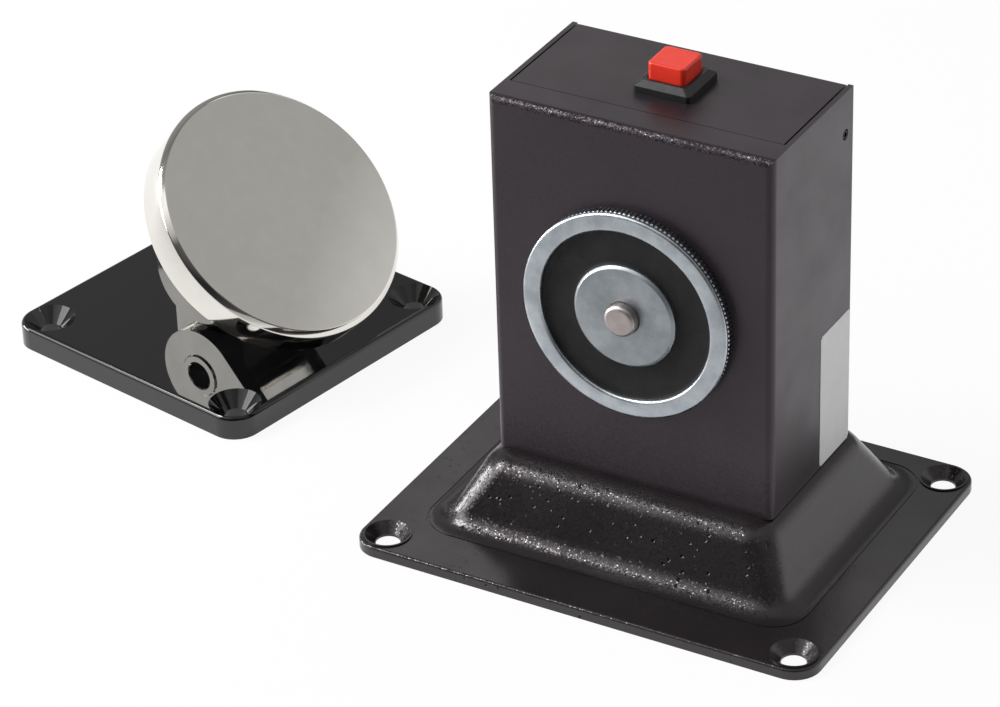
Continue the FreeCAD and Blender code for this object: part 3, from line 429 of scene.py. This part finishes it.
def stand(made, place, body, node_name):
    """Puts a piece in its place, rides it on its body and lets it stand for its solid, if it has one."""
    made.matrix_world = place
    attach(made, body)
    if node_name:
        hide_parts(node_name)


def frame_of(origin, axis):
    """A matrix whose Z runs along the axis."""
    return Matrix.Translation(origin) @ Vector(axis).to_track_quat("Z", "Y").to_matrix().to_4x4()


# Magnet: rim ring with a knurled edge, core, resin and ejector pin. Heights run forward from the front sheet.

pot_low, pot_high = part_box("magnet_pot")
core_low, core_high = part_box("magnet_core")
resin_low, resin_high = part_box("resin_ring")
pin_low, pin_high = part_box("ejector_pin")
SHEET_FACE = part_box("housing_shell")[0].y
RIM_RADIUS = (pot_high.x - pot_low.x) / 2
RIM_FACE = SHEET_FACE - pot_low.y
POT_REAR = SHEET_FACE - pot_high.y
MAGNET = frame_of(((pot_low.x + pot_high.x) / 2, SHEET_FACE, (pot_low.z + pot_high.z) / 2), (0, -1, 0))
POT_BORE = 25.6 * MM
POT_WALL = 28.5 * MM
POT_BACK = 5.0 * MM
SPIGOT = 9.05 * MM
SPIGOT_PLAY = 0.05 * MM
KNURL_TEETH = 140
KNURL_DEPTH = 0.34 * MM
STEPS_PER_TOOTH = 4
TURNED_SEGMENTS = 160


def make_rim_ring():
    """The steel cup with its proud rim: a smooth round lip in front of a finely toothed edge."""
    profile = [
        (SPIGOT, POT_REAR),
        (POT_WALL, POT_REAR),
        (POT_WALL, 0.0),
        (RIM_RADIUS - 0.50 * MM, 0.0),
        (RIM_RADIUS - 0.10 * MM, 0.40 * MM),
        (RIM_RADIUS - 0.10 * MM, RIM_FACE - 2.00 * MM),
        (RIM_RADIUS - 0.55 * MM, RIM_FACE - 1.40 * MM),
        (RIM_RADIUS - 0.05 * MM, RIM_FACE - 1.12 * MM),
        (RIM_RADIUS, RIM_FACE - 0.95 * MM),
        (RIM_RADIUS - 0.07 * MM, RIM_FACE - 0.60 * MM),
        (RIM_RADIUS - 0.27 * MM, RIM_FACE - 0.27 * MM),
        (RIM_RADIUS - 0.60 * MM, RIM_FACE - 0.07 * MM),
        (RIM_RADIUS - 0.95 * MM, RIM_FACE),
        (POT_BORE + 1.00 * MM, RIM_FACE),
        (POT_BORE + 0.62 * MM, RIM_FACE - 0.08 * MM),
        (POT_BORE + 0.29 * MM, RIM_FACE - 0.29 * MM),
        (POT_BORE + 0.08 * MM, RIM_FACE - 0.62 * MM),
        (POT_BORE, RIM_FACE - 1.00 * MM),
        (POT_BORE, POT_REAR + POT_BACK),
        (SPIGOT, POT_REAR + POT_BACK),
        (SPIGOT, POT_REAR),
    ]
    knurled_rows = (4, 5)

    def teeth(row, step):
        cut = step % STEPS_PER_TOOTH >= STEPS_PER_TOOTH // 2
        return -KNURL_DEPTH if row in knurled_rows and cut else 0.0

    built = closed_lathe(profile, KNURL_TEETH * STEPS_PER_TOOTH, teeth)
    made = finish_mesh("rim_ring", built, zinc_turned, 28.0)
    stand(made, MAGNET, "magnet_unit", "magnet_pot")


def make_pole_core():
    """Pole core with a chamfered face, bored for the pin and, wider, for its spring."""
    outer = (core_high.x - core_low.x) / 2
    chamfer = 0.8 * MM
    rear = SHEET_FACE - core_high.y
    guide = 4.75 * MM
    guide_edge = 0.25 * MM
    guide_end = RIM_FACE - 6.0 * MM
    spring = 6.2 * MM
    profile = rounded([
        (spring, rear),
        (SPIGOT - SPIGOT_PLAY, rear),
        (SPIGOT - SPIGOT_PLAY, POT_REAR + POT_BACK),
        (outer, POT_REAR + POT_BACK),
        (outer, RIM_FACE - chamfer),
        (outer - chamfer, RIM_FACE),
        (guide + guide_edge, RIM_FACE),
        (guide, RIM_FACE - guide_edge),
        (guide, guide_end),
        (spring, guide_end),
        (spring, rear),
    ], 0.15 * MM, 2)
    made = finish_mesh("pole_core", closed_lathe(profile, TURNED_SEGMENTS), core_turned)
    stand(made, MAGNET, "magnet_unit", "magnet_core")


def make_resin_fill():
    """Cast resin that creeps up a little where it meets the metal."""
    front = SHEET_FACE - resin_low.y
    back = SHEET_FACE - resin_high.y
    inner = 15.4 * MM
    outer = 25.55 * MM
    # Distance from the metal and rise, in millimetres
    creep = [(0.0, 0.35), (0.3, 0.16), (0.7, 0.05), (1.4, 0.0)]
    profile = [(inner, back), (outer, back)]
    profile += [(outer - away * MM, front + rise * MM) for away, rise in creep]
    profile += [(inner + away * MM, front + rise * MM) for away, rise in reversed(creep)]
    profile.append((inner, back))
    made = finish_mesh("resin_fill", closed_lathe(profile, TURNED_SEGMENTS), resin, 50.0)
    stand(made, MAGNET, "magnet_unit", "resin_ring")


def make_ejector():
    """Sprung pin with a chamfered nose, a collar and a thin tail for the spring."""
    nose = SHEET_FACE - pin_low.y
    tail = SHEET_FACE - pin_high.y
    shank = 4.7 * MM
    chamfer = 0.8 * MM
    collar = (pin_high.x - pin_low.x) / 2
    collar_front = RIM_FACE - 6.1 * MM
    collar_back = collar_front - 2.5 * MM
    thin = 2.8 * MM
    profile = rounded([
        (0, tail),
        (thin, tail),
        (thin, collar_back),
        (collar, collar_back),
        (collar, collar_front),
        (shank, collar_front),
        (shank, nose - chamfer),
        (shank - chamfer, nose),
        (0, nose),
    ], 0.5 * MM, 4)
    made = finish_mesh("ejector", lathe(profile, 96), pin_turned, 40.0)
    stand(made, MAGNET, "ejector", "ejector_pin")


# Keeper: the armature plate turned about its own normal

KEEPER_TURN = math.radians(-11.5)
KEEPER_TILT = math.radians(44.5)
PIVOT = (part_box("hinge_pin")[0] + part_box("hinge_pin")[1]) / 2
PLATE_NORMAL = Vector((math.sin(KEEPER_TILT) * math.cos(KEEPER_TURN),
                       math.sin(KEEPER_TILT) * math.sin(KEEPER_TURN),
                       math.cos(KEEPER_TILT)))
PLATE = frame_of(PIVOT, PLATE_NORMAL)
PLATE_BACK = 23.0 * MM
PLATE_FRONT = 35.0 * MM
PLATE_RADIUS = 40.0 * MM


def make_armature():
    """Polished plate with a bright chamfer round its face."""
    back_edge = 0.6 * MM
    chamfer = 1.5 * MM
    profile = rounded([
        (0, PLATE_BACK),
        (PLATE_RADIUS - back_edge, PLATE_BACK),
        (PLATE_RADIUS, PLATE_BACK + back_edge),
        (PLATE_RADIUS, PLATE_FRONT - chamfer),
        (PLATE_RADIUS - chamfer, PLATE_FRONT),
        (0, PLATE_FRONT),
    ], 0.25 * MM, 3)
    made = finish_mesh("armature", lathe(profile, 256), nickel_disc)
    stand(made, PLATE, "keeper_plate", "keeper_disc")


# Screws with a hexagon socket, heads flush with the face that they are driven into

SCREW_SEGMENTS = 48
SCREW_EDGE = 0.3 * MM


def socket_screw(profile, flats, depth):
    """A bmesh of one screw: its head's face is at height 0, its shank runs down, its socket opens above."""
    drill_point = flats * 0.2
    rows = profile + [(flats / 2, 0.0), (flats / 2, -depth), (0, -depth - drill_point)]
    hexagon = (len(profile), len(profile) + 1)

    def six_sided(row, step):
        if row not in hexagon:
            return 0.0
        turn = (360.0 * step / SCREW_SEGMENTS) % 60.0 - 30.0
        return flats / 2 * (1 / math.cos(math.radians(turn)) - 1)

    return lathe(rows, SCREW_SEGMENTS, six_sided)


def make_screws(name, profile, socket, places, body, look):
    """One piece from a node's screws; each has its head's face at its place and its shank along -Z there."""
    joined = bmesh.new()
    for place in places:
        screw = socket_screw(profile, **socket)
        bmesh.ops.transform(screw, matrix=place, verts=screw.verts)
        part = bpy.data.meshes.new(name + "_one")
        screw.to_mesh(part)
        screw.free()
        joined.from_mesh(part)
        bpy.data.meshes.remove(part)
    made = finish_mesh(name + "_driven", joined, look)
    stand(made, Matrix.Identity(4), body, name)


def sunk_profile(head, shank, length):
    """A countersunk screw's outline, from its tip to its head's face; head and shank are diameters."""
    cone = (head - shank) / 2
    rim = 0.05 * MM
    return [
        (0, -length),
        (shank / 2 - SCREW_EDGE, -length),
        (shank / 2, SCREW_EDGE - length),
        (shank / 2, -cone),
        (head / 2, -rim),
        (head / 2 - rim, 0.0),
    ]


def make_cover_screws():
    low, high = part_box("cover_screws")
    radius = (high.z - low.z) / 2
    length = 7.0 * MM
    profile = [(0, -length), (radius, -length), (radius, -SCREW_EDGE), (radius - SCREW_EDGE, 0.0)]
    middle = (low + high) / 2
    places = [frame_of((x, middle.y, middle.z), (way, 0, 0)) for x, way in ((low.x, -1), (high.x, 1))]
    socket = {"flats": 1.5 * MM, "depth": 1.4 * MM}
    make_screws("cover_screws", profile, socket, places, "magnet_unit", black_oxide)


def make_block_screws():
    along = Vector((math.cos(KEEPER_TURN), math.sin(KEEPER_TURN), 0))
    places = []
    for side in (-8.0 * MM, 8.0 * MM):
        foot = PIVOT + along * side
        places.append(frame_of((foot.x, foot.y, 0.0), (0, 0, -1)))
    profile = sunk_profile(head=12.0 * MM, shank=6.0 * MM, length=16.4 * MM)
    socket = {"flats": 4.0 * MM, "depth": 2.3 * MM}
    make_screws("block_screws", profile, socket, places, "keeper_stand", zinc)


def make_disc_screws():
    across = Vector((-math.sin(KEEPER_TURN), math.cos(KEEPER_TURN), 0))
    bridge_back = 18.0 * MM
    seat = PIVOT + PLATE_NORMAL * bridge_back
    places = [frame_of(seat + across * side, -PLATE_NORMAL) for side in (-5.2 * MM, 5.2 * MM)]
    profile = sunk_profile(head=8.4 * MM, shank=4.0 * MM, length=11.0 * MM)
    socket = {"flats": 2.5 * MM, "depth": 1.6 * MM}
    make_screws("disc_screws", profile, socket, places, "keeper_plate", nickel)


# Sticker on the right side, left blank

STICKER_FRONT = 9.4 * MM
STICKER_FOOT = 23.0 * MM
STICKER_TOP = 64.6 * MM
STICKER_INSET = 0.15 * MM
STICKER_THICK = 0.1 * MM
STICKER_CORNER = 0.6 * MM


def make_sticker():
    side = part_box("housing_shell")[1]
    low = Vector((side.x, STICKER_FRONT, STICKER_FOOT))
    high = Vector((side.x + STICKER_THICK, side.y - STICKER_INSET, STICKER_TOP))
    built = bmesh.new()
    bmesh.ops.create_cube(built, size=1.0)
    for vertex in built.verts:
        for axis in range(3):
            vertex.co[axis] = low[axis] if vertex.co[axis] < 0 else high[axis]
    through = STICKER_THICK / 2
    corners = [edge for edge in built.edges if abs(edge.verts[0].co.x - edge.verts[1].co.x) > through]
    bmesh.ops.bevel(built, geom=corners, offset=STICKER_CORNER, segments=4, affect="EDGES")
    made = finish_mesh("sticker", built, paper)
    stand(made, Matrix.Identity(4), "magnet_unit", None)


make_rim_ring()
make_pole_core()
make_resin_fill()
make_ejector()
make_armature()
make_cover_screws()
make_block_screws()
make_disc_screws()
make_sticker()


# Floor, light and camera

FLOOR_REACH = 4.0
FLOOR_GREY = (0.86, 0.86, 0.86, 1)
SEEN_WHITE = 0.92  # the share of plain white that the camera sees; the rest takes the object's shadow
MIRRORED_WHITE = 0.7

ROOM_LEVEL = 0.10
ROOM_PATCHES = (
    # direction, the cosines at which a patch starts and is full, and its strength
    ((0.62, 0.52, 0.58), 0.55, 1.0, 0.42),
    ((0.80, 0.60, 0.00), 0.80, 1.0, 0.90),
    ((-0.45, 0.72, 0.52), 0.60, 1.0, 0.10),
    ((-0.98, 0.10, 0.15), 0.50, 1.0, 0.40),
    ((0.10, -0.40, 0.91), 0.70, 1.0, 0.50),
    ((-0.21, -0.56, 0.80), 0.94, 0.97, 0.90),
)
ROOM_UNLIT = ((0.25, -0.85, 0.46), 0.75, 0.95, 0.70)

LAMPS = (
    # name, place, target, width, height, power in watts
    ("overhead", (-1.0, -0.42, 1.22), (0.0, 0.0, 0.05), 0.45, 0.45, 13.8),
    ("left_low", (-1.21, -0.30, 0.15), (-0.05, -0.03, 0.03), 0.66, 0.26, 9.0),
    ("front_left", (-1.26, -0.78, 0.85), (-0.165, 0.03, 0.02), 0.85, 0.85, 10.0),
    ("rear_panel", (-0.16, 0.384, 0.364), (-0.16, 0.0, 0.364), 0.26, 0.272, 0.125),
    ("rear_left", (-0.3135, 0.382, 0.347), (-0.3135, 0.0, 0.347), 0.077, 0.146, 0.043),
)

CAMERA_PLACE = (0.46166, -0.87329, 0.65313)
CAMERA_AZIMUTH = math.radians(30.508)
CAMERA_ELEVATION = math.radians(31.221)
CAMERA_ROLL = math.radians(-1.936)
LENS_MM = 151.2
SENSOR_MM = 36.0


def make_floor():
    """A pale floor, white to the camera and brighter in reflections at the back; it keeps the soft shadow."""
    material, tree = new_tree("floor_paper")
    path = node(tree, "LightPath").outputs
    clear = maths(tree, "MAXIMUM", path["Is Camera Ray"], path["Is Transmission Ray"])
    mirrored = path["Is Glossy Ray"]
    along = node(tree, "SeparateXYZ", {0: object_place(tree)}).outputs["Y"]
    sweep = times(tree, span(tree, along, -0.16, -0.03, 0.5, 1.3), mirrored)
    seen = maths(tree, "MAXIMUM", times(tree, clear, SEEN_WHITE), times(tree, mirrored, MIRRORED_WHITE))
    plain = node(tree, "BsdfDiffuse", {"Color": FLOOR_GREY})
    white = node(tree, "Emission", {"Color": (1, 1, 1, 1), "Strength": maths(tree, "MAXIMUM", clear, sweep)})
    mixed = node(tree, "MixShader", {0: seen, 1: plain.outputs[0], 2: white.outputs[0]})
    output = node(tree, "OutputMaterial")
    tree.links.new(mixed.outputs[0], output.inputs["Surface"])
    built = bmesh.new()
    bmesh.ops.create_grid(built, x_segments=1, y_segments=1, size=FLOOR_REACH)
    made = finish_mesh("floor", built, material)


def make_world():
    """Soft grey room: walls and ceiling are lighter patches, and the side behind the camera is unlit."""
    world = bpy.data.worlds.new("studio")
    world.use_nodes = True
    tree = world.node_tree
    tree.nodes.clear()
    way = node(tree, "TexCoord").outputs["Generated"]

    def towards(direction, low, high, strength):
        """A soft patch of light about a direction."""
        facing = vector_maths(tree, "DOT_PRODUCT", way, second=direction)["Value"]
        return times(tree, span(tree, facing, low, high), strength)

    level = ROOM_LEVEL
    for patch in ROOM_PATCHES:
        level = maths(tree, "ADD", towards(*patch), level)
    level = times(tree, level, maths(tree, "SUBTRACT", 1.0, towards(*ROOM_UNLIT)))
    colour = node(tree, "CombineColor", {0: level, 1: level, 2: level}).outputs[0]
    light = node(tree, "Background", {"Color": colour, "Strength": 1.0})
    output = node(tree, "OutputWorld")
    tree.links.new(light.outputs[0], output.inputs["Surface"])
    scene.world = world


def make_lamp(name, place, target, width, height, power):
    data = bpy.data.lights.new(name, "AREA")
    data.shape = "RECTANGLE"
    data.size = width
    data.size_y = height
    data.energy = power
    lamp = bpy.data.objects.new(name, data)
    lamp.location = place
    lamp.rotation_euler = (Vector(target) - Vector(place)).to_track_quat("-Z", "Y").to_euler()
    lamp.visible_camera = False
    scene.collection.objects.link(lamp)


def make_camera():
    """The photograph's view: direction, roll and distance from a fit of its corners."""
    back = Vector((math.sin(CAMERA_AZIMUTH) * math.cos(CAMERA_ELEVATION),
                   -math.cos(CAMERA_AZIMUTH) * math.cos(CAMERA_ELEVATION),
                   math.sin(CAMERA_ELEVATION)))
    right = Vector((math.cos(CAMERA_AZIMUTH), math.sin(CAMERA_AZIMUTH), 0))
    up = back.cross(right)
    turned_right = right * math.cos(CAMERA_ROLL) + up * math.sin(CAMERA_ROLL)
    turned_up = up * math.cos(CAMERA_ROLL) - right * math.sin(CAMERA_ROLL)
    data = bpy.data.cameras.new("photo_view")
    data.sensor_fit = "HORIZONTAL"
    data.sensor_width = SENSOR_MM
    data.lens = LENS_MM
    data.clip_start = 0.05
    data.clip_end = 50.0
    camera = bpy.data.objects.new("photo_view", data)
    axes = Matrix((turned_right, turned_up, back)).transposed()
    camera.matrix_world = Matrix.Translation(CAMERA_PLACE) @ axes.to_4x4()
    scene.collection.objects.link(camera)
    scene.camera = camera


make_floor()
make_world()
for lamp_values in LAMPS:
    make_lamp(*lamp_values)
make_camera()
scene.view_settings.view_transform = "Standard"
